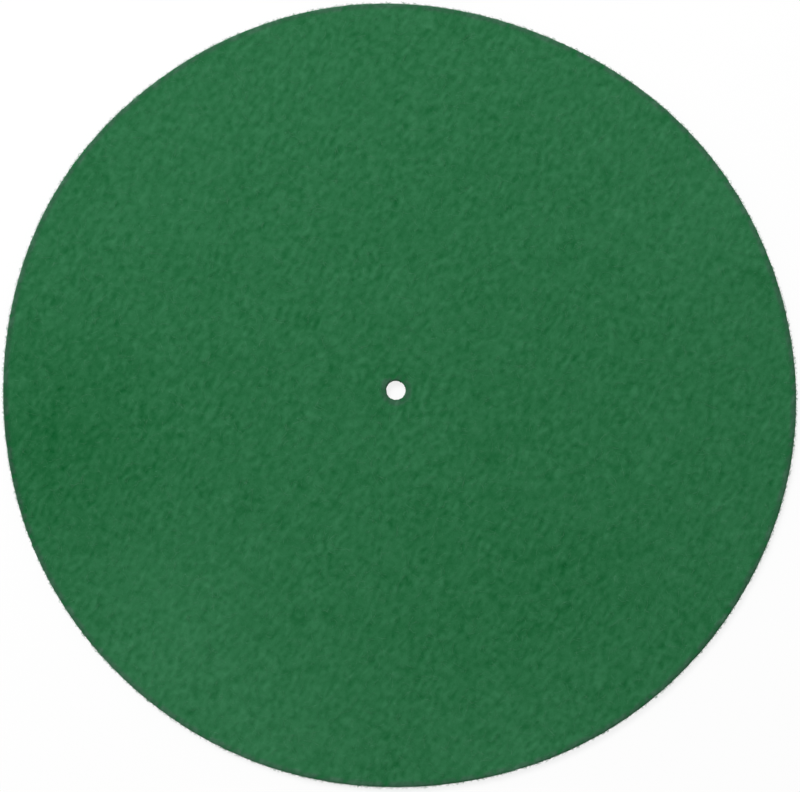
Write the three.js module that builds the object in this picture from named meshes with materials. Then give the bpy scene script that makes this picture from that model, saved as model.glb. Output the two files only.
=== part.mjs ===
// Turntable platter mat: one disc of pressed wool felt, die-cut from a roll, with a hole for the
// platter's spindle. Millimetres, +Z up. The origin is on the spindle's axis, at the underside.
import * as THREE from 'three';

// Driving dimensions.
const MAT_DIAMETER = 295; // a little under a 301 mm record, so that the record's edge stays free
const THICKNESS = 3; // felt of about 250 g/m2 for each millimetre
const SPINDLE_DIAMETER = 7.2; // the standard pin of a record player's platter
const SPINDLE_CLEARANCE = 0.1; // on the diameter: the felt just slips over the pin

// The die goes in from the top. It drags the upper edge down into a soft round before it cuts, and
// leaves the lower edge nearly sharp. The small punch for the hole drags less than the rim's die.
const RIM_ROLL = 1.1; // radius of the rolled upper edge, round the rim
const HOLE_ROLL = 0.6; // radius of the rolled upper edge, round the hole
const RIM_BREAK = 0.35; // radius of the lower edge, round the rim
const HOLE_BREAK = 0.2; // radius of the lower edge, round the hole

// Steps of the round forms.
const TURN_STEPS = 144;
const ROLL_STEPS = 4;

const RIM_RADIUS = MAT_DIAMETER / 2;
const HOLE_RADIUS = (SPINDLE_DIAMETER + SPINDLE_CLEARANCE) / 2;

// Quarter turns of the section's arcs, from pointing outwards, counter-clockwise.
const OUT = 0;
const UP = Math.PI / 2;
const IN = Math.PI;
const DOWN = -Math.PI / 2;

// Shares the edge's height between its upper and lower round where the felt is too thin for both.
function edgeRounds(roll, lowerBreak) {
  const share = Math.min(1, THICKNESS / (roll + lowerBreak));
  return { roll: roll * share, lowerBreak: lowerBreak * share };
}

// The felt's section beside the axis, as distance from the axis and height. It runs up the rim, in
// along the top, down the wall of the hole and out along the underside, and closes on itself: a
// path joins each arc to the one before it with a straight line.
function feltSection() {
  const rim = edgeRounds(RIM_ROLL, RIM_BREAK);
  const hole = edgeRounds(HOLE_ROLL, HOLE_BREAK);
  const section = new THREE.Path();
  section.absarc(RIM_RADIUS - rim.lowerBreak, rim.lowerBreak, rim.lowerBreak, DOWN, OUT);
  section.absarc(RIM_RADIUS - rim.roll, THICKNESS - rim.roll, rim.roll, OUT, UP);
  section.absarc(HOLE_RADIUS + hole.roll, THICKNESS - hole.roll, hole.roll, UP, IN);
  section.absarc(HOLE_RADIUS + hole.lowerBreak, hole.lowerBreak, hole.lowerBreak, IN, IN + UP);
  section.lineTo(RIM_RADIUS - rim.lowerBreak, 0);
  return section.getPoints(ROLL_STEPS / 2); // an arc gets two steps for each division
}

// Matt green felt: no gloss, no metal.
const woolFelt = new THREE.MeshStandardMaterial({
  name: 'wool_felt',
  color: 0x2b6b42,
  roughness: 0.95,
  metalness: 0,
});

const feltMat = new THREE.Mesh(new THREE.LatheGeometry(feltSection(), TURN_STEPS), woolFelt);
feltMat.name = 'felt_mat';
feltMat.rotation.x = Math.PI / 2; // the section is turned about Y, and the mat's axis is Z

const platterMat = new THREE.Group();
platterMat.add(feltMat);

export default platterMat;
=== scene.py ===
# %% [markdown]
# # A felt mat for a record player's platter
# The object is one disc of thick wool felt, dyed green, with a small hole for the platter's
# spindle. Such a disc could be one flat cylinder, but felt is never that clean: the die rolls the
# upper edge over, the cut disc relaxes a little out of round, the face is lumpy and its fibres
# stand loose. So the mat is a real section turned round the spindle's axis, then given its lumps,
# and loose wool fibres are laid on its face and set into its cut edges.

import math
import random
import time

import bmesh
import bpy
from mathutils import Euler, Matrix, Vector, noise


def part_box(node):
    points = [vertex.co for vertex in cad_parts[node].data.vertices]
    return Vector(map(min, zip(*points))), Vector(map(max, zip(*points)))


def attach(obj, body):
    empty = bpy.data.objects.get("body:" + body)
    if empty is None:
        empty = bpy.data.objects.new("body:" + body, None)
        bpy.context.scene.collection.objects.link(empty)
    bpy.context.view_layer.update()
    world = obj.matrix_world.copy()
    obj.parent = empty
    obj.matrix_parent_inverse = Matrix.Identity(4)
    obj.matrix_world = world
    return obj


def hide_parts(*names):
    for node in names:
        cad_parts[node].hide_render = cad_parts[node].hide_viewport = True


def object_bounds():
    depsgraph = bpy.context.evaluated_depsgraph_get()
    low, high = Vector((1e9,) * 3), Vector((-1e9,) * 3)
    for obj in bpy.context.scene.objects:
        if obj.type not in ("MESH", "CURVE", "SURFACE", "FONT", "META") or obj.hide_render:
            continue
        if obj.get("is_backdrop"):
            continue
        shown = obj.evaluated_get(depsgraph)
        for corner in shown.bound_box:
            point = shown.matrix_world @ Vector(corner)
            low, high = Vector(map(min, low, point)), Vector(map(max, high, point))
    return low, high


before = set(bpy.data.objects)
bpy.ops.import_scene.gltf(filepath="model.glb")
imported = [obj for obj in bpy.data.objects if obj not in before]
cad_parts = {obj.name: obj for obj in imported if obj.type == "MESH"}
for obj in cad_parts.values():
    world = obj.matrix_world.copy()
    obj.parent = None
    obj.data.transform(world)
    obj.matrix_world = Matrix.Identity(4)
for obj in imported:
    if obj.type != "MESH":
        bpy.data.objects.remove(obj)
cad_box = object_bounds()

MM = 0.001
started = time.time()


def log(*words):
    print(f"felt mat, {time.time() - started:5.1f} s:", *words)


log("CAD box in mm", [[round(x / MM, 2) for x in corner] for corner in cad_box])

# %% [markdown]
# ## Sizes from the frame
# The diameter, the thickness and the hole belong to the solid part, so they are read from it and
# not typed again: the hole is the smallest distance of any of its points from the spindle's axis.

# %% Sizes of the mat
NODE = "felt_mat"
low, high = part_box(NODE)
THICKNESS = high.z
RIM_RADIUS = (high.x - low.x) / 2
HOLE_RADIUS = min(math.hypot(v.co.x, v.co.y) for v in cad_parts[NODE].data.vertices)
log(f"thickness {THICKNESS / MM:.2f}, rim {RIM_RADIUS / MM:.2f}, hole {HOLE_RADIUS / MM:.2f} mm")

# %% [markdown]
# ## Camera
# The photograph looks almost straight down, from about twice the mat's width. The camera leans a
# few degrees towards the bottom of the picture, which is what moves the hole a little off the
# outline's middle. A small turn and lean do that without any lens shift.

# %% Camera over the mat
CAMERA_DISTANCE = 600.5 * MM
CAMERA_LENS = 72.5  # mm, on the usual 36 mm sensor
CAMERA_TURN = (math.radians(3.44), math.radians(1.1), 0)
CAMERA_AIM = Vector((1.56 * MM, -2.2 * MM, THICKNESS))
NEAREST_SEEN = 10 * MM


def add_camera():
    data = bpy.data.cameras.new("camera")
    data.lens = CAMERA_LENS
    data.clip_start = NEAREST_SEEN
    camera = bpy.data.objects.new("camera", data)
    bpy.context.scene.collection.objects.link(camera)
    turned = Euler(CAMERA_TURN).to_matrix().to_4x4()
    back_off = Matrix.Translation((0, 0, CAMERA_DISTANCE))
    camera.matrix_world = Matrix.Translation(CAMERA_AIM) @ turned @ back_off
    bpy.context.scene.camera = camera
    return camera


camera = add_camera()
log("camera at", [round(x / MM, 1) for x in camera.matrix_world.translation], "mm")

# %% [markdown]
# ## Small helpers for colours and nodes
# A colour picked on a screen is sRGB, and Blender's nodes want linear light, so one function
# turns a hex value round. One more adds any node, sets its values and links its inputs.

# %% Colours and nodes
WHITE = "#FFFFFF"


def linear(hex_colour):
    channels = [int(hex_colour[i : i + 2], 16) / 255 for i in (1, 3, 5)]
    straight = [c / 12.92 if c <= 0.04045 else ((c + 0.055) / 1.055) ** 2.4 for c in channels]
    return (*straight, 1.0)


def add_node(tree, kind, inputs=None, **settings):
    """Adds a node. Each input is a value, or an output socket to link from."""
    node = tree.nodes.new(kind)
    for name, value in settings.items():
        setattr(node, name, value)
    for name, value in (inputs or {}).items():
        if isinstance(value, bpy.types.NodeSocket):
            tree.links.new(value, node.inputs[name])
        else:
            node.inputs[name].default_value = value
    return node


def new_material(name):
    material = bpy.data.materials.new(name)
    material.use_nodes = True
    material.node_tree.nodes.clear()
    return material, material.node_tree


log("white is", linear(WHITE), "in linear light")

# %% [markdown]
# ## White ground
# The photograph is a cut-out on pure white. More light would bleach the felt, so the ground is
# white by itself: towards the camera, and in reflections, most of it is a plain white glow, and
# the rest is lit paper that still takes the mat's soft shadow.

# %% Ground
PAPER = "#FDFDFD"
PAPER_GLOW = 0.82  # share of the ground that is plain white to the eye, beside the mat
GLOW_STARTS = 200 * MM  # from here outwards it grows to the whole, so the ground has no far edge
GLOW_ENDS = 450 * MM
GROUND_REACH = 6.0  # m from the middle to each side


def seen_directly(tree):
    """1 for rays from the camera, off glossy surfaces and through glass, otherwise 0."""
    path = add_node(tree, "ShaderNodeLightPath")
    either = add_node(
        tree,
        "ShaderNodeMath",
        {0: path.outputs["Is Camera Ray"], 1: path.outputs["Is Glossy Ray"]},
        operation="ADD",
    )
    return add_node(
        tree,
        "ShaderNodeMath",
        {0: either.outputs[0], 1: path.outputs["Is Transmission Ray"]},
        operation="ADD",
        use_clamp=True,
    ).outputs[0]


def paper_material():
    material, tree = new_material("white_studio_paper")
    place = add_node(tree, "ShaderNodeTexCoord").outputs["Object"]
    away = add_node(tree, "ShaderNodeVectorMath", {0: place}, operation="LENGTH").outputs["Value"]
    whiteness = add_node(
        tree,
        "ShaderNodeMapRange",
        {"Value": away, "From Min": GLOW_STARTS, "From Max": GLOW_ENDS, "To Min": PAPER_GLOW},
        interpolation_type="SMOOTHSTEP",
    )
    glow_share = add_node(
        tree,
        "ShaderNodeMath",
        {0: seen_directly(tree), 1: whiteness.outputs[0]},
        operation="MULTIPLY",
    )
    lit = add_node(tree, "ShaderNodeBsdfDiffuse", {"Color": linear(PAPER)})
    glow = add_node(tree, "ShaderNodeEmission", {"Color": linear(WHITE), "Strength": 1.0})
    mix = add_node(
        tree,
        "ShaderNodeMixShader",
        {0: glow_share.outputs[0], 1: lit.outputs[0], 2: glow.outputs[0]},
    )
    add_node(tree, "ShaderNodeOutputMaterial", {"Surface": mix.outputs[0]})
    return material


def add_ground():
    bm = bmesh.new()
    bmesh.ops.create_grid(bm, x_segments=1, y_segments=1, size=GROUND_REACH)
    data = bpy.data.meshes.new("ground")
    bm.to_mesh(data)
    bm.free()
    data.materials.append(paper_material())
    ground = bpy.data.objects.new("ground", data)
    bpy.context.scene.collection.objects.link(ground)
    ground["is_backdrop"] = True


add_ground()
log(f"ground reaches {GROUND_REACH} m each way")

# %% [markdown]
# ## Sky and soft light
# The sky is pure white to the eye too, and lights the mat more weakly than it looks. One large
# round lamp adds the little direction that brings out the felt's lumps. Together they light the
# mat so that a green renders about as it is written.

# %% Sky and lamp
SKY_LEVEL = 0.384
LAMP_POWER = 54.0  # W
LAMP_SIZE = 1.1  # m across
LAMP_PLACE = Vector((-0.9, 1.45, 1.85))  # m, which is upper left in the photograph


def add_sky():
    world = bpy.data.worlds.new("white_sky")
    world.use_nodes = True
    tree = world.node_tree
    tree.nodes.clear()
    strength = add_node(
        tree,
        "ShaderNodeMapRange",
        {"Value": seen_directly(tree), "To Min": SKY_LEVEL, "To Max": 1.0},
    )
    sky = add_node(
        tree,
        "ShaderNodeBackground",
        {"Color": linear(WHITE), "Strength": strength.outputs[0]},
    )
    add_node(tree, "ShaderNodeOutputWorld", {"Surface": sky.outputs[0]})
    bpy.context.scene.world = world


def add_lamp():
    data = bpy.data.lights.new("softbox", "AREA")
    data.energy = LAMP_POWER
    data.shape = "DISK"
    data.size = LAMP_SIZE
    lamp = bpy.data.objects.new("softbox", data)
    lamp.location = LAMP_PLACE
    lamp.rotation_euler = (-LAMP_PLACE).to_track_quat("-Z", "Y").to_euler()
    bpy.context.scene.collection.objects.link(lamp)


add_sky()
add_lamp()
bpy.context.scene.view_settings.view_transform = "Standard"
log(f"sky lights at {SKY_LEVEL}, and the lamp is {LAMP_PLACE.length:.2f} m away")

# %% [markdown]
# ## The section of the cut felt
# The die goes in from the top. It drags the upper edge down into a soft roll before it cuts, and
# it leaves the lower edge nearly sharp. The section starts as one upright rectangle beside the
# axis, and each corner is bevelled with its own radius, which is shorter to write than a list of
# points. The face is then dropped, the long edges are cut into short ones, and what is left is
# ready to spin.

# %% A rounded rectangle beside the axis
RIM_ROLL = 1.1 * MM  # these four radii are the solid part's own
HOLE_ROLL = 0.6 * MM
RIM_BREAK = 0.35 * MM
HOLE_BREAK = 0.2 * MM
ROLL_SEGMENTS = 6
HALF_SIDE = 0.5  # create_grid wants half the side of its square, which is 1 before it is stretched


def round_corner(bm, radius, height, size):
    corner = min(bm.verts, key=lambda v: abs(v.co.x - radius) + abs(v.co.z - height))
    bmesh.ops.bevel(
        bm,
        geom=[corner],
        offset=size,
        offset_type="OFFSET",
        segments=ROLL_SEGMENTS,
        profile=0.5,
        affect="VERTICES",
        material=-1,
    )


def rounded_rectangle():
    bm = bmesh.new()
    middle = Matrix.Translation(((HOLE_RADIUS + RIM_RADIUS) / 2, 0, THICKNESS / 2))
    stretch = Matrix.Diagonal((RIM_RADIUS - HOLE_RADIUS, 1, THICKNESS, 1))
    upright = Matrix.Rotation(math.pi / 2, 4, "X")
    square = middle @ stretch @ upright
    bmesh.ops.create_grid(bm, x_segments=1, y_segments=1, size=HALF_SIDE, matrix=square)
    round_corner(bm, RIM_RADIUS, THICKNESS, RIM_ROLL)
    round_corner(bm, HOLE_RADIUS, THICKNESS, HOLE_ROLL)
    round_corner(bm, RIM_RADIUS, 0, RIM_BREAK)
    round_corner(bm, HOLE_RADIUS, 0, HOLE_BREAK)
    bmesh.ops.delete(bm, geom=bm.faces[:], context="FACES_ONLY")
    return bm


section = rounded_rectangle()
log("section has", len(section.edges), "edges before its straight ones are cut")

# %% Its straight edges, cut into short ones
STRAIGHT_EDGES = 4  # top, underside and two walls, which are longer than any in a rounded corner
TOP_RINGS = 124
UNDER_RINGS = 14
WALL_RINGS = 3
END_CROWDING = 0.8  # 0 spaces the rings evenly, towards 1 they crowd at the rim and the hole
NEARLY = MM / 100  # heights this close count as the same


def points_of(geometry):
    return [g for g in geometry if isinstance(g, bmesh.types.BMVert)]


def cut_line(bm, edge, pieces):
    """Cuts one straight edge into pieces, which crowd towards its two ends."""
    first, last = (v.co.copy() for v in edge.verts)
    made = bmesh.ops.subdivide_edges(bm, edges=[edge], cuts=pieces - 1)
    for v in points_of(made["geom_inner"]):
        even = (v.co - first).length / (last - first).length
        eased = (1 - math.cos(math.pi * even)) / 2
        v.co = first.lerp(last, (1 - END_CROWDING) * even + END_CROWDING * eased)


def cut_straight_lines(bm):
    straight = sorted(bm.edges, key=lambda e: e.calc_length())[-STRAIGHT_EDGES:]
    for edge in straight:
        heights = [v.co.z for v in edge.verts]
        if min(heights) > THICKNESS - NEARLY:
            cut_line(bm, edge, TOP_RINGS)
        elif max(heights) < NEARLY:
            cut_line(bm, edge, UNDER_RINGS)
        else:
            cut_line(bm, edge, WALL_RINGS)


cut_straight_lines(section)
log("section has", len(section.verts), "points round it")

# %% [markdown]
# ## A whole turn
# A spin turns the section round the axis. A whole turn of so many steps in one spin is slow, so
# one eighth is spun, copied round, and merged into a closed ring of felt.

# %% Spin an eighth and copy it round
TURN_STEPS = 560
SECTORS = 8
MERGE_WITHIN = MM / 1000


def spin_sector(bm):
    bmesh.ops.spin(
        bm,
        geom=bm.verts[:] + bm.edges[:],
        cent=(0, 0, 0),
        axis=(0, 0, 1),
        dvec=(0, 0, 0),
        angle=2 * math.pi / SECTORS,
        steps=TURN_STEPS // SECTORS,
        use_merge=False,
        use_duplicate=False,
    )


def copy_round(bm):
    sector = bm.verts[:] + bm.edges[:] + bm.faces[:]
    for i in range(1, SECTORS):
        copied = bmesh.ops.duplicate(bm, geom=sector)["geom"]
        bmesh.ops.rotate(
            bm,
            verts=points_of(copied),
            cent=(0, 0, 0),
            matrix=Matrix.Rotation(2 * math.pi * i / SECTORS, 3, "Z"),
        )
    bmesh.ops.remove_doubles(bm, verts=bm.verts[:], dist=MERGE_WITHIN)


disc = section  # the same bmesh, which the spin makes a disc
spin_sector(disc)
copy_round(disc)
log("the clean disc has", len(disc.verts), "points")

# %% [markdown]
# ## Lumps and swells
# Felt is matted, not woven, so its face has no grid: it is lumpy in spots a few millimetres wide,
# and a loose disc lies in very slow swells. The underside only hollows upwards, so the mat still
# rests on its lowest points.

# %% Relief of the two faces
LUMP_SIZE = 3.2 * MM
LUMP_HEIGHT = 0.11 * MM
FINE_LUMP_SIZE = 0.55 * LUMP_SIZE
FINE_LUMP_SHARE = 0.5  # height of the fine lumps beside the wide ones
SWELL_SIZE = 42 * MM
SWELL_HEIGHT = 0.22 * MM
UNDER_HOLLOW = 0.08 * MM
UNDER_LAYER = 1.0  # m up in the noise, so that the underside's hollows are its own


def relief(x, y):
    """Height of the felt's face over a flat one, at a place on it."""
    place = Vector((x, y, 0))
    lump = noise.noise(place / LUMP_SIZE) + FINE_LUMP_SHARE * noise.noise(place / FINE_LUMP_SIZE)
    swell = noise.noise(place / SWELL_SIZE)
    return LUMP_HEIGHT * lump + SWELL_HEIGHT * swell


def under_hollow(x, y):
    """How far the underside is hollowed. The noise runs from -1 to 1, and this from none to all."""
    return UNDER_HOLLOW * (0.5 + 0.5 * noise.noise(Vector((x, y, UNDER_LAYER)) / SWELL_SIZE))


across = [relief(x * MM, 0) / MM for x in range(int(RIM_RADIUS / MM))]
log(f"from the middle to the rim the face runs from {min(across):.2f} to {max(across):.2f} mm")

# %% [markdown]
# ## Outline
# The cut disc has also relaxed: it is a little longer along one line than across it, and not quite
# even round the rim. A few named waves say that, and a noise roughens the cut wall. One function
# then takes any point of the clean disc to its place on the felt, and the fibres use it too.

# %% From the clean disc to the felt
WALL_ROUGHNESS = 0.12 * MM
WALL_DEPTH = 0.5 * MM
WALL_GRAIN = 1.6 * MM
# Waves of the rim: how many go round, how high each is, and the bearing of a crest, from +X.
RIM_WAVES = (
    (2, 1.2 * MM, 157),
    (3, 0.56 * MM, 1),
    (4, 0.19 * MM, 42),
    (5, 0.11 * MM, 20),
    (6, 0.13 * MM, 36),
    (7, 0.19 * MM, 46),
)


def smooth_step(value):
    value = min(1.0, max(0.0, value))
    return value * value * (3 - 2 * value)


def rim_wave(angle):
    return sum(h * math.cos(n * (angle - math.radians(at))) for n, h, at in RIM_WAVES)


def from_cut(radius):
    """Distance in from the nearer cut edge."""
    return min(RIM_RADIUS - radius, radius - HOLE_RADIUS)


def relax(co):
    """Where a point of the clean, round disc really lies on the felt."""
    radius = math.hypot(co.x, co.y)
    angle = math.atan2(co.y, co.x)
    wall = smooth_step(1 - from_cut(radius) / WALL_DEPTH)
    rough = WALL_ROUGHNESS * wall * noise.noise(co / WALL_GRAIN)
    moved = radius + rim_wave(angle) * radius / RIM_RADIUS + rough
    x = moved * math.cos(angle)
    y = moved * math.sin(angle)
    up = smooth_step(co.z / THICKNESS)
    return Vector((x, y, co.z + up * relief(x, y) + (1 - up) * (1 - wall) * under_hollow(x, y)))


waves = [rim_wave(math.radians(bearing)) / MM for bearing in range(360)]
log(f"the rim lies from {min(waves):.2f} to {max(waves):.2f} mm off a circle")

# %% [markdown]
# ## Painted light and shade in patches
# Hands and records brush a felt's nap. Where its fibres lie away from the light the green looks
# deeper, and where they stand towards it paler. Here that is painted into the colour as painted
# light and shade, in wide soft patches, with a slow noise of random tone over them. The patches
# are placed where the photograph shows them, and the mesh carries them as an attribute.

# %% Painted light and shade of the face
# Soft patches of painted light and shade: middle x and y, radius, and how much paler (+) or deeper
# (-) the felt is painted there.
PAINTED_LIGHT_PATCHES = (
    (-45 * MM, 122 * MM, 60 * MM, 0.4),
    (72 * MM, 128 * MM, 40 * MM, 0.45),
    (-108 * MM, 72 * MM, 42 * MM, 0.25),
    (-128 * MM, -18 * MM, 38 * MM, -1.05),
    (-84 * MM, -96 * MM, 38 * MM, 0.9),
    (-48 * MM, -138 * MM, 38 * MM, 0.75),
    (48 * MM, -82 * MM, 46 * MM, -0.48),
    (48 * MM, -143 * MM, 38 * MM, 0.8),
    (108 * MM, -110 * MM, 24 * MM, 0.25),
    (118 * MM, 66 * MM, 34 * MM, 0.7),
    (140 * MM, -50 * MM, 24 * MM, 0.2),
)
CLOUD_SIZE = 26 * MM
CLOUD_SHARE = 0.2


def painted_light_and_tone(x, y):
    light_and_tone = 0.0
    for middle_x, middle_y, radius, shift in PAINTED_LIGHT_PATCHES:
        away = ((x - middle_x) ** 2 + (y - middle_y) ** 2) / radius**2
        light_and_tone += shift * math.exp(-away)
    return light_and_tone + CLOUD_SHARE * noise.noise(Vector((x, y, 0)) / CLOUD_SIZE)


log(f"nap at the middle is {painted_light_and_tone(0, 0):.2f}")

# %% [markdown]
# ## Relax the disc
# Each point of the clean disc now moves to where it lies on the felt. Beside each cut the die has
# pressed the felt denser, and the rolled edge there turns from the light, so each point keeps how
# far it is in that band, which the material paints darker as partly painted shade, and its
# painted light and tone.

# %% The mat's mesh
PRESSED_AND_SHADED_WIDTH = 0.9 * MM  # the darker band, partly pressed felt and partly painted shade, is full this far in from a cut
PRESSED_AND_SHADED_FADE = 2.0 * MM  # and less and less over this much more
CM = 0.01


def relax_disc(bm):
    pressed_and_shaded = bm.verts.layers.float.new("pressed_and_shaded_edge")
    light_and_tone = bm.verts.layers.float.new("painted_light_and_tone")
    for v in bm.verts:
        inside = from_cut(math.hypot(v.co.x, v.co.y))
        # painted shade: the band beside each cut that the material paints darker, partly pressed
        # felt
        v[pressed_and_shaded] = smooth_step(1 - (inside - PRESSED_AND_SHADED_WIDTH) / PRESSED_AND_SHADED_FADE)
        v.co = relax(v.co)
        # painted light and shade: the wide patches, with a random tone over them
        v[light_and_tone] = painted_light_and_tone(v.co.x, v.co.y)


def finished_mesh(bm):
    bmesh.ops.recalc_face_normals(bm, faces=bm.faces[:])
    for face in bm.faces:
        face.smooth = True
    open_edges = sum(not e.is_manifold for e in bm.edges)
    volume = bm.calc_volume(signed=True) / CM**3
    log(f"{2 * len(bm.faces)} triangles, {open_edges} open edges, {volume:.1f} cm3")
    data = bpy.data.meshes.new("felt_disc")
    bm.to_mesh(data)
    bm.free()
    return data


relax_disc(disc)
mat_mesh = finished_mesh(disc)

# %% [markdown]
# ## Wool felt
# Pressed wool felt is a mat of crimped fibres with no weave, dyed in the piece. It is dull: its
# surface is all small pits and loops, so it has hardly any gloss, and only a faint sheen when it
# is seen along the face. What the eye reads as felt from a step away is a soft speckle of tufts
# and pits, 2 to 4 mm apart, and finer matted locks over it. An image could give that, but noises
# made in the shader have no seams and stay sharp from near. Both the colour and the bump come
# from the same ones, so a pit is low and painted darker, and a tuft high and painted paler:
# painted shade and light over the felt's own uneven tone. First come two plain tools: a slow push
# that makes the locks wander, and a noise that is drawn out one way, as if combed.

# %% Noise that wanders and is combed
NOISE_MEAN = 0.5  # Blender's texture noise lies about a half
SWIRL_SIZE = 9 * MM
SWIRL_REACH = 2.0 * MM


def swirled(tree, coordinates):
    """Coordinates pushed about by a slow noise, so that locks wander as matted wool does."""
    push = add_node(
        tree,
        "ShaderNodeTexNoise",
        {"Vector": coordinates, "Scale": 1 / SWIRL_SIZE, "Detail": 2.0},
    )
    either_way = add_node(
        tree,
        "ShaderNodeVectorMath",
        {0: push.outputs["Color"], 1: (NOISE_MEAN,) * 3},
        operation="SUBTRACT",
    )
    return add_node(
        tree,
        "ShaderNodeVectorMath",
        {0: either_way.outputs[0], 1: (SWIRL_REACH,) * 3, 2: coordinates},
        operation="MULTIPLY_ADD",
    ).outputs[0]


def combed(tree, coordinates, bearing, along, across, detail):
    """Noise drawn out along one bearing. Its colour's channels are separate noises."""
    laid = add_node(
        tree,
        "ShaderNodeMapping",
        {
            "Vector": coordinates,
            "Rotation": (0, 0, math.radians(bearing)),
            "Scale": (along, across, across),
        },
        vector_type="TEXTURE",
    )
    return add_node(
        tree,
        "ShaderNodeTexNoise",
        {"Vector": laid.outputs[0], "Scale": 1.0, "Detail": detail},
    )


def centred(tree, value, weight):
    """A noise less its mean, with a weight."""
    return add_node(
        tree,
        "ShaderNodeMath",
        {0: value, 1: weight, 2: -NOISE_MEAN * weight},
        operation="MULTIPLY_ADD",
    ).outputs[0]


def summed(tree, layers):
    total = layers[0]
    for layer in layers[1:]:
        total = add_node(tree, "ShaderNodeMath", {0: total, 1: layer}, operation="ADD").outputs[0]
    return total


log(f"locks wander by up to about {SWIRL_REACH * NOISE_MEAN / MM:.1f} mm")

# %% [markdown]
# ## Strands
# A fibre that lies on the felt is a thin curved line. A noise holds such lines already: wherever
# it passes its own middle value there is a line that winds about and never ends abruptly. A
# second noise makes some of them pale and some deep, and lets them fade out between.

# %% Curved lines out of a noise
STRAND_STRETCH = 1.4  # the noise is drawn out this much along the lines' bearing
BETWEEN_LINES = -4.0  # times the edge: a little below 0, so that lines and gaps even out


def strands(tree, coordinates, bearing, size, edge, weight):
    """Lines where one noise is within an edge of its mean, pale or deep by another noise."""
    noises = combed(tree, coordinates, bearing, STRAND_STRETCH * size, size, 0.0)
    channels = add_node(tree, "ShaderNodeSeparateColor", {"Color": noises.outputs["Color"]})
    off = centred(tree, channels.outputs[0], 1.0)
    beside = add_node(tree, "ShaderNodeMath", {0: off}, operation="ABSOLUTE")
    line = add_node(
        tree,
        "ShaderNodeMapRange",
        {
            "Value": beside.outputs[0],
            "From Max": edge,
            "To Min": 1.0,
            "To Max": BETWEEN_LINES * edge,
        },
        interpolation_type="SMOOTHSTEP",
    )
    tone = centred(tree, channels.outputs[1], weight)
    return add_node(
        tree,
        "ShaderNodeMath",
        {0: line.outputs[0], 1: tone},
        operation="MULTIPLY",
    ).outputs[0]


log(f"strands are stretched {STRAND_STRETCH} times along their bearing")

# %% [markdown]
# ## Two scales of grain
# From a step away the eye gets round tufts, locks combed mostly one way, and a few clear strands,
# a little stronger in some places than in others. From near it gets the single fibres, as fine
# curved lines over all of that. Each scale is its own function, because each has its own depth of
# bump.

# %% Grain of the felt
LAY = 58  # bearing that the press has combed the fibres towards, a little
TUFT_SIZE = 2.2 * MM
TUFT_LENGTH = 1.2 * TUFT_SIZE
TUFT_WIDTH = 0.87 * TUFT_SIZE
TUFT_DETAIL = 0.5
TUFT_WEIGHT = 1.0
LOCK_LENGTH = 3.6 * MM
LOCK_WIDTH = 1.8 * MM
LOCK_DETAIL = 0.3
LOCK_WEIGHT = 0.5
CROSS_TURN = -80  # a second, weaker lot of locks lies across the first
CROSS_LENGTH = 0.9 * LOCK_LENGTH
CROSS_WEIGHT = 0.35
STRAND_TURN = -25
STRAND_SIZE = 3.6 * MM
STRAND_EDGE = 0.15  # how far the noise gets from its middle within half a strand's width
STRAND_WEIGHT = 0.35
BUSY_SIZE = 7 * MM  # the speckle is stronger in some places than in others
BUSY_NOISE = (0.35, 0.65)
BUSY_AMOUNT = (0.8, 1.2)


def felt_grain(tree, place, wander):
    tufts = combed(tree, wander, LAY, TUFT_LENGTH, TUFT_WIDTH, TUFT_DETAIL)
    along = combed(tree, wander, LAY, LOCK_LENGTH, LOCK_WIDTH, LOCK_DETAIL)
    across = combed(tree, wander, LAY + CROSS_TURN, CROSS_LENGTH, LOCK_WIDTH, LOCK_DETAIL)
    even = summed(
        tree,
        [
            centred(tree, tufts.outputs["Fac"], TUFT_WEIGHT),
            centred(tree, along.outputs["Fac"], LOCK_WEIGHT),
            centred(tree, across.outputs["Fac"], CROSS_WEIGHT),
            strands(tree, wander, LAY + STRAND_TURN, STRAND_SIZE, STRAND_EDGE, STRAND_WEIGHT),
        ],
    )
    busy = add_node(
        tree,
        "ShaderNodeTexNoise",
        {"Vector": place, "Scale": 1 / BUSY_SIZE, "Detail": 1.0},
    )
    amount = add_node(
        tree,
        "ShaderNodeMapRange",
        {
            "Value": busy.outputs["Fac"],
            "From Min": BUSY_NOISE[0],
            "From Max": BUSY_NOISE[1],
            "To Min": BUSY_AMOUNT[0],
            "To Max": BUSY_AMOUNT[1],
        },
    )
    return add_node(
        tree,
        "ShaderNodeMath",
        {0: even, 1: amount.outputs[0]},
        operation="MULTIPLY",
    ).outputs[0]


log(f"tufts are {TUFT_SIZE / MM:.1f} mm, locks {LOCK_LENGTH / MM:.1f} by {LOCK_WIDTH / MM:.1f} mm")

# %% Hairs of the felt
# Turn from the lay and size of each layer of single fibres. A real fibre is 0.03 mm thick and
# would not show, so the lines that these give are about 0.06 mm.
HAIR_LAYERS = ((0, 0.65 * MM), (-70, 0.45 * MM), (50, 0.55 * MM))
HAIR_EDGE = 0.08
HAIR_WEIGHT = 1.3


def hair_grain(tree, wander):
    layers = [
        strands(tree, wander, LAY + turn, size, HAIR_EDGE, HAIR_WEIGHT)
        for turn, size in HAIR_LAYERS
    ]
    return summed(tree, layers)


log(len(HAIR_LAYERS), "layers of hairs lie over the tufts")

# %% [markdown]
# ## The felt's greens
# The grain shifts the colour between a deep and a pale green, round a tone set by the painted
# light and shade of the patches. Beside a cut the same grain runs between two darker, greyer
# greens: partly the pile that the die squeezed shut, partly painted shade of the rolled edge.

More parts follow.
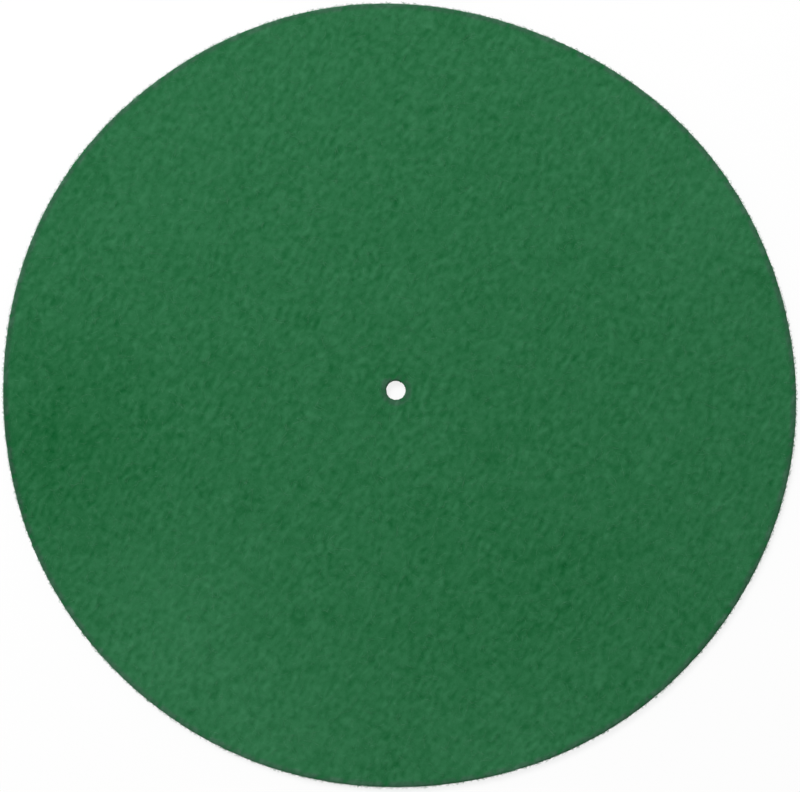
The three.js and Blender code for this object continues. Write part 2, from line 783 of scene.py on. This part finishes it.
# %% Colour of the felt
FELT_DEEP = "#105B2E"
FELT_PALE = "#32764C"
PRESSED_AND_SHADED_DEEP = "#143A26"  # darker and greyer beside a cut: pile squeezed shut by the die, and painted shade
PRESSED_AND_SHADED_PALE = "#407053"
UNEVEN_PRESS_AND_SHADE = 3.0  # how much more of the darker band shows on a tuft than in a pit
MIDDLE_SHADE = 0.5
PAINTED_LIGHT_AND_TONE_SHARE = 0.22
GRAIN_SHARE = 0.87
HAIR_SHARE = 0.75
# A Mix node has sockets of one name for each kind of value. These are the numbers of its colours.
COLOUR_A = 6
COLOUR_B = 7
MIXED = 2


def felt_shade(tree, grain, hairs):
    """About 0 where the felt is deep green and 1 where it is pale."""
    # painted light and shade of the patches, read from the mesh
    light_and_tone = add_node(tree, "ShaderNodeAttribute", attribute_name="painted_light_and_tone").outputs["Fac"]
    shade = MIDDLE_SHADE
    # painted light and shade: the grain and hairs also set the bump, so a pit is painted darker and
    # a tuft paler
    for layer, share in ((light_and_tone, PAINTED_LIGHT_AND_TONE_SHARE), (grain, GRAIN_SHARE), (hairs, HAIR_SHARE)):
        shade = add_node(
            tree,
            "ShaderNodeMath",
            {0: layer, 1: share, 2: shade},
            operation="MULTIPLY_ADD",
        ).outputs[0]
    return shade


def pressed_and_shaded_share(tree, grain):
    """1 beside a cut, where the die has pressed the felt and painted shade darkens it, and 0 away
    from it.
    """
    cut = add_node(tree, "ShaderNodeAttribute", attribute_name="pressed_and_shaded_edge").outputs["Fac"]
    patchy = add_node(
        tree,
        "ShaderNodeMath",
        {0: grain, 1: UNEVEN_PRESS_AND_SHADE, 2: 1.0},
        operation="MULTIPLY_ADD",
    )
    return add_node(
        tree,
        "ShaderNodeMath",
        {0: cut, 1: patchy.outputs[0]},
        operation="MULTIPLY",
        use_clamp=True,
    ).outputs[0]


def felt_colour(tree, grain, hairs):
    shade = felt_shade(tree, grain, hairs)
    loose, pressed_and_shaded_green = (
        add_node(
            tree,
            "ShaderNodeMix",
            {"Factor": shade, COLOUR_A: linear(deep), COLOUR_B: linear(pale)},
            data_type="RGBA",
            clamp_factor=False,
        ).outputs[MIXED]
        for deep, pale in ((FELT_DEEP, FELT_PALE), (PRESSED_AND_SHADED_DEEP, PRESSED_AND_SHADED_PALE))
    )
    # painted shade: beside a cut the greens go darker and greyer, partly pressed felt
    return add_node(
        tree,
        "ShaderNodeMix",
        {"Factor": pressed_and_shaded_share(tree, grain), COLOUR_A: loose, COLOUR_B: pressed_and_shaded_green},
        data_type="RGBA",
    ).outputs[MIXED]


log("felt runs from", FELT_DEEP, "to", FELT_PALE, "and beside a cut to", PRESSED_AND_SHADED_PALE)

# %% [markdown]
# ## The felt's shader
# Two bumps are chained: the hairs' shallow one, and the grain's over it. A tuft's tip is brushed
# a little smoother than a pit. The gloss is far below that of a solid surface, because the loops
# throw light back at random, and a pale sheen takes its place when the face is seen at a low
# angle.

# %% Felt material
BUMP_DEPTH = 0.2 * MM
HAIR_DEPTH = 0.055 * MM
GRAIN_SPAN = 0.4  # the grain seldom goes further than this from 0, either way
PIT_ROUGHNESS = 1.0
TUFT_ROUGHNESS = 0.86
WOOL_IOR = 1.55
FELT_GLOSS = 0.12
SHEEN_AMOUNT = 0.12
SHEEN_SPREAD = 0.5
SHEEN_TINT = "#9DB8A4"


def felt_material():
    material, tree = new_material("pressed_wool_felt")
    place = add_node(tree, "ShaderNodeTexCoord").outputs["Object"]
    wander = swirled(tree, place)
    grain = felt_grain(tree, place, wander)
    hairs = hair_grain(tree, wander)
    dull = add_node(
        tree,
        "ShaderNodeMapRange",
        {
            "Value": grain,
            "From Min": -GRAIN_SPAN,
            "From Max": GRAIN_SPAN,
            "To Min": PIT_ROUGHNESS,
            "To Max": TUFT_ROUGHNESS,
        },
    )
    hairy = add_node(tree, "ShaderNodeBump", {"Height": hairs, "Distance": HAIR_DEPTH})
    bump = add_node(
        tree,
        "ShaderNodeBump",
        {"Height": grain, "Distance": BUMP_DEPTH, "Normal": hairy.outputs[0]},
    )
    surface = add_node(
        tree,
        "ShaderNodeBsdfPrincipled",
        {
            "Base Color": felt_colour(tree, grain, hairs),
            "Roughness": dull.outputs[0],
            "IOR": WOOL_IOR,
            "Specular IOR Level": FELT_GLOSS,
            "Sheen Weight": SHEEN_AMOUNT,
            "Sheen Roughness": SHEEN_SPREAD,
            "Sheen Tint": linear(SHEEN_TINT),
            "Normal": bump.outputs[0],
        },
    )
    add_node(tree, "ShaderNodeOutputMaterial", {"Surface": surface.outputs[0]})
    return material


felt = felt_material()
log("felt material has", len(felt.node_tree.nodes), "nodes")


# %% The disc becomes a piece
def add_piece(name, data, material):
    data.materials.clear()
    data.materials.append(material)
    piece = bpy.data.objects.new(name, data)
    bpy.context.scene.collection.objects.link(piece)
    return piece


felt_mat = add_piece("felt_disc", mat_mesh, felt)
log(felt_mat.name, "has", len(felt_mat.data.vertices), "points")

# %% [markdown]
# ## Loose fibres
# A real felt has fibres that the press did not catch. Most lie on the face in loose arches with
# both ends matted in, or stand up with one end free. A hair system could grow them, but paths
# made in code are quicker to steer. Each path is a few points in the clean disc's own space, and
# is later relaxed with it, so that the fibre stays on the lumps and follows the rim.

# %% One fibre on the face
SEED = 12
FIBRE_SINK = 0.1 * MM  # how deep in the felt an end is matted
UNEVEN_CURL = 0.12  # radians that a fibre turns more or less than its own curl, at each step

rng = random.Random(SEED)


def bow(share, free):
    """Height of a bow, 0 to 1, at a share of its length. A free end is at the top of its bow."""
    return math.sin(math.pi * share * (0.5 if free else 1.0))


def face_path(count, length, rise, crimp, free):
    """A fibre on the face: it curls, and arches over the felt or stands with its tip free."""
    reach = math.sqrt(rng.uniform((HOLE_RADIUS / RIM_RADIUS) ** 2, 1)) * RIM_RADIUS
    angle = rng.uniform(-math.pi, math.pi)
    x = reach * math.cos(angle)
    y = reach * math.sin(angle)
    bearing = rng.uniform(-math.pi, math.pi)
    curl = rng.gauss(0, crimp)
    step = length / (count - 1)
    points = []
    for i in range(count):
        height = (rise + FIBRE_SINK) * bow(i / (count - 1), free)
        points.append(Vector((x, y, THICKNESS - FIBRE_SINK + height)))
        bearing += rng.gauss(curl, UNEVEN_CURL)
        x += step * math.cos(bearing)
        y += step * math.sin(bearing)
    return points


log(f"fibre ends are matted {FIBRE_SINK / MM:.1f} mm deep")

# %% Lying and standing fibres
FACE_MARGIN = RIM_ROLL + 0.3 * MM  # no fibre on the face comes nearer than this to a cut
LYING_COUNT = 3200
LYING_POINTS = 8
LYING_LENGTH = (3, 8)  # mm, least and most
LYING_RISE = (0.02, 0.2)  # mm
LYING_CRIMP = 0.36
STANDING_COUNT = 3600
STANDING_POINTS = 6
STANDING_LENGTH = (1, 3)  # mm
STANDING_RISE = (0.15, 0.6)  # mm
STANDING_CRIMP = 0.35


def on_the_face(points):
    return all(from_cut(math.hypot(p.x, p.y)) > FACE_MARGIN for p in points)


def lying():
    length = rng.uniform(*LYING_LENGTH) * MM
    rise = rng.uniform(*LYING_RISE) * MM
    points = face_path(LYING_POINTS, length, rise, LYING_CRIMP, False)
    return points if on_the_face(points) else None


def standing():
    length = rng.uniform(*STANDING_LENGTH) * MM
    rise = rng.uniform(*STANDING_RISE) * MM
    points = face_path(STANDING_POINTS, length, rise, STANDING_CRIMP, True)
    return points if on_the_face(points) else None


def grow(count, make):
    """Makes that many paths, leaving out any that would run over a cut edge."""
    paths = []
    while len(paths) < count:
        points = make()
        if points:
            paths.append(points)
    return paths


lying_paths = grow(LYING_COUNT, lying)
standing_paths = grow(STANDING_COUNT, standing)
log(len(lying_paths), "fibres lie on the face and", len(standing_paths), "stand up")

# %% [markdown]
# ## Fringe of the cuts
# The die cuts through fibres, and their ends work loose: they stick out of the rim all round and
# a little out of the hole. Most are very short and a few are long, which is what an exponential
# draw gives. Each starts inside the felt, at its own height on the cut wall.

# %% Paths of the fibres at the cuts
EDGE_POINTS = 5
EDGE_HEIGHT = (0.1, 0.98)  # shares of the thickness
EDGE_CLIMB = 0.35  # mm up or down along a fibre
EDGE_FREE_SHARE = 0.4
LONGEST = 2.2  # no fibre sticks out further than this many times its reach below
LOWEST = 0.07 * MM  # over the flat underside, so that no fibre goes under it
RIM_COUNT = 5400
RIM_REACH = 0.36 * MM  # mean distance that a fibre would stick out, before the longest are capped
RIM_RUN = 1.6 * MM  # furthest that it goes along the rim
HOLE_COUNT = 120
HOLE_REACH = 0.08 * MM
HOLE_RUN = 0.8 * MM


def edge_path(cut_radius, roll, side, reach, run):
    """A fibre out of a cut wall. The side is 1 round the rim and -1 in the hole."""
    angle = rng.uniform(-math.pi, math.pi)
    height = rng.uniform(*EDGE_HEIGHT) * THICKNESS
    climb = rng.gauss(0, EDGE_CLIMB) * MM
    out_to = min(rng.expovariate(1 / reach), LONGEST * reach) + FIBRE_SINK
    along = rng.uniform(-run, run)
    free = rng.random() < EDGE_FREE_SHARE
    over = max(0, height - (THICKNESS - roll))
    drop = roll - math.sqrt(roll**2 - over**2)
    points = []
    for i in range(EDGE_POINTS):
        share = i / (EDGE_POINTS - 1)
        radius = cut_radius + side * (out_to * bow(share, free) - FIBRE_SINK - drop)
        turn = angle + along * share / cut_radius
        level = max(LOWEST, height + climb * share)
        points.append(Vector((radius * math.cos(turn), radius * math.sin(turn), level)))
    return points


def round_rim():
    return edge_path(RIM_RADIUS, RIM_ROLL, 1, RIM_REACH, RIM_RUN)


def in_hole():
    return edge_path(HOLE_RADIUS, HOLE_ROLL, -1, HOLE_REACH, HOLE_RUN)


rim_paths = grow(RIM_COUNT, round_rim)
hole_paths = grow(HOLE_COUNT, in_hole)
log(len(rim_paths), "fibres fringe the rim and", len(hole_paths), "the hole")

# %% [markdown]
# ## Dyed wool
# Dye takes unevenly, so the fibres are deeper in one spot and paler in the next, and a long one
# changes along its way. Wool is scaly, which dulls it, and a deep length is a little rougher than
# a pale one. Wool also lets some light through, so even the side of a fibre that is turned from
# the lamp is not black.

# %% Material of the fibres
# Both greens are set paler than the felt's: painted light, for the light that wool lets through to
# a thin fibre's shaded side.
FIBRE_DEEP = "#2C6D46"
FIBRE_PALE = "#57936F"
SHADE_SIZE = 2.5 * MM
SHADE_NOISE = (0.3, 0.7)
DEEP_ROUGHNESS = 0.95
PALE_ROUGHNESS = 0.75
FIBRE_GLOSS = 0.2
SCALE_SIZE = 0.3 * MM  # real scales are 0.01 mm and would not show
SCALE_DEPTH = 0.02 * MM
LIGHT_SHARE = 0.7  # share of the light that goes into the wool and comes out again
LIGHT_REACH = 0.1 * MM  # how far it runs on inside


def fibre_material():
    material, tree = new_material("dyed_wool_fibre")
    place = add_node(tree, "ShaderNodeTexCoord").outputs["Object"]
    dye = add_node(
        tree,
        "ShaderNodeTexNoise",
        {"Vector": place, "Scale": 1 / SHADE_SIZE, "Detail": 1.0},
    ).outputs["Fac"]
    shade = add_node(
        tree,
        "ShaderNodeMapRange",
        {"Value": dye, "From Min": SHADE_NOISE[0], "From Max": SHADE_NOISE[1]},
    ).outputs[0]
    colour = add_node(
        tree,
        "ShaderNodeMix",
        {"Factor": shade, COLOUR_A: linear(FIBRE_DEEP), COLOUR_B: linear(FIBRE_PALE)},
        data_type="RGBA",
    )
    dull = add_node(
        tree,
        "ShaderNodeMapRange",
        {"Value": dye, "To Min": DEEP_ROUGHNESS, "To Max": PALE_ROUGHNESS},
    )
    scales = add_node(
        tree,
        "ShaderNodeTexNoise",
        {"Vector": place, "Scale": 1 / SCALE_SIZE, "Detail": 0.0},
    )
    bump = add_node(
        tree,
        "ShaderNodeBump",
        {"Height": scales.outputs["Fac"], "Distance": SCALE_DEPTH},
    )
    wool = add_node(
        tree,
        "ShaderNodeBsdfPrincipled",
        {
            "Base Color": colour.outputs[MIXED],
            "Roughness": dull.outputs[0],
            "IOR": WOOL_IOR,
            "Specular IOR Level": FIBRE_GLOSS,
            "Subsurface Weight": LIGHT_SHARE,
            "Subsurface Radius": (1.0, 1.0, 1.0),
            "Subsurface Scale": LIGHT_REACH,
            "Normal": bump.outputs[0],
        },
    )
    add_node(tree, "ShaderNodeOutputMaterial", {"Surface": wool.outputs[0]})
    return material


wool = fibre_material()
log("fibre material has", len(wool.node_tree.nodes), "nodes")

# %% [markdown]
# ## From paths to tubes
# A curve with a thin bevel turns a path into a tube, and thousands of paths fit in one curve. The
# bevel is kept at four sides, as a fibre is seen far off. All fibres are drawn two or three times
# thicker than wool's 0.03 mm, which would not show at all. Each curve is made a mesh, because it
# is then finished and its triangles can be counted.

# %% Fibre meshes
FACE_FIBRE_RADIUS = 0.035 * MM
EDGE_FIBRE_RADIUS = 0.05 * MM
TIP_WIDTH = 0.45  # a fibre tapers from its root to this share of its width


def fibre_curve(name, paths, radius):
    curve = bpy.data.curves.new(name, "CURVE")
    curve.dimensions = "3D"
    curve.bevel_depth = radius
    curve.bevel_resolution = 0
    curve.use_fill_caps = True
    for path in paths:
        spline = curve.splines.new("POLY")
        spline.points.add(len(path) - 1)
        for i, co in enumerate(path):
            spline.points[i].co = (*relax(co), 1)
            spline.points[i].radius = 1 + (TIP_WIDTH - 1) * i / (len(path) - 1)
    return curve


def fibre_piece(name, paths, radius):
    curve = fibre_curve(name, paths, radius)
    tubes = bpy.data.objects.new(name, curve)
    data = bpy.data.meshes.new_from_object(tubes)
    data.name = name
    bpy.data.objects.remove(tubes)
    bpy.data.curves.remove(curve)
    data.calc_loop_triangles()
    log(f"{name}: {len(data.loop_triangles)} triangles")
    return add_piece(name, data, wool)


fibres = [
    fibre_piece("lying_fibres", lying_paths, FACE_FIBRE_RADIUS),
    fibre_piece("standing_fibres", standing_paths, FACE_FIBRE_RADIUS),
    fibre_piece("rim_fibres", rim_paths, EDGE_FIBRE_RADIUS),
    fibre_piece("hole_fibres", hole_paths, EDGE_FIBRE_RADIUS),
]

# %% [markdown]
# ## Hand the pieces to the frame
# The mat moves as one body, so the disc and its fibres all ride on it. The modelled disc takes
# the plain solid's place.

# %% Everything rides on the frame
BODY = "root"

for piece in [felt_mat, *fibres]:
    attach(piece, BODY)
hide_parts(NODE)
log(1 + len(fibres), "pieces ride on", BODY)

# %% [markdown]
# ## The sizes
# A modelled piece may stand a little proud of its plain solid, and no more. Both boxes are
# written down.

# %% Write the sizes and finish
shown_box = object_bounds()
log("shown box in mm", [[round(x / MM, 2) for x in corner] for corner in shown_box])
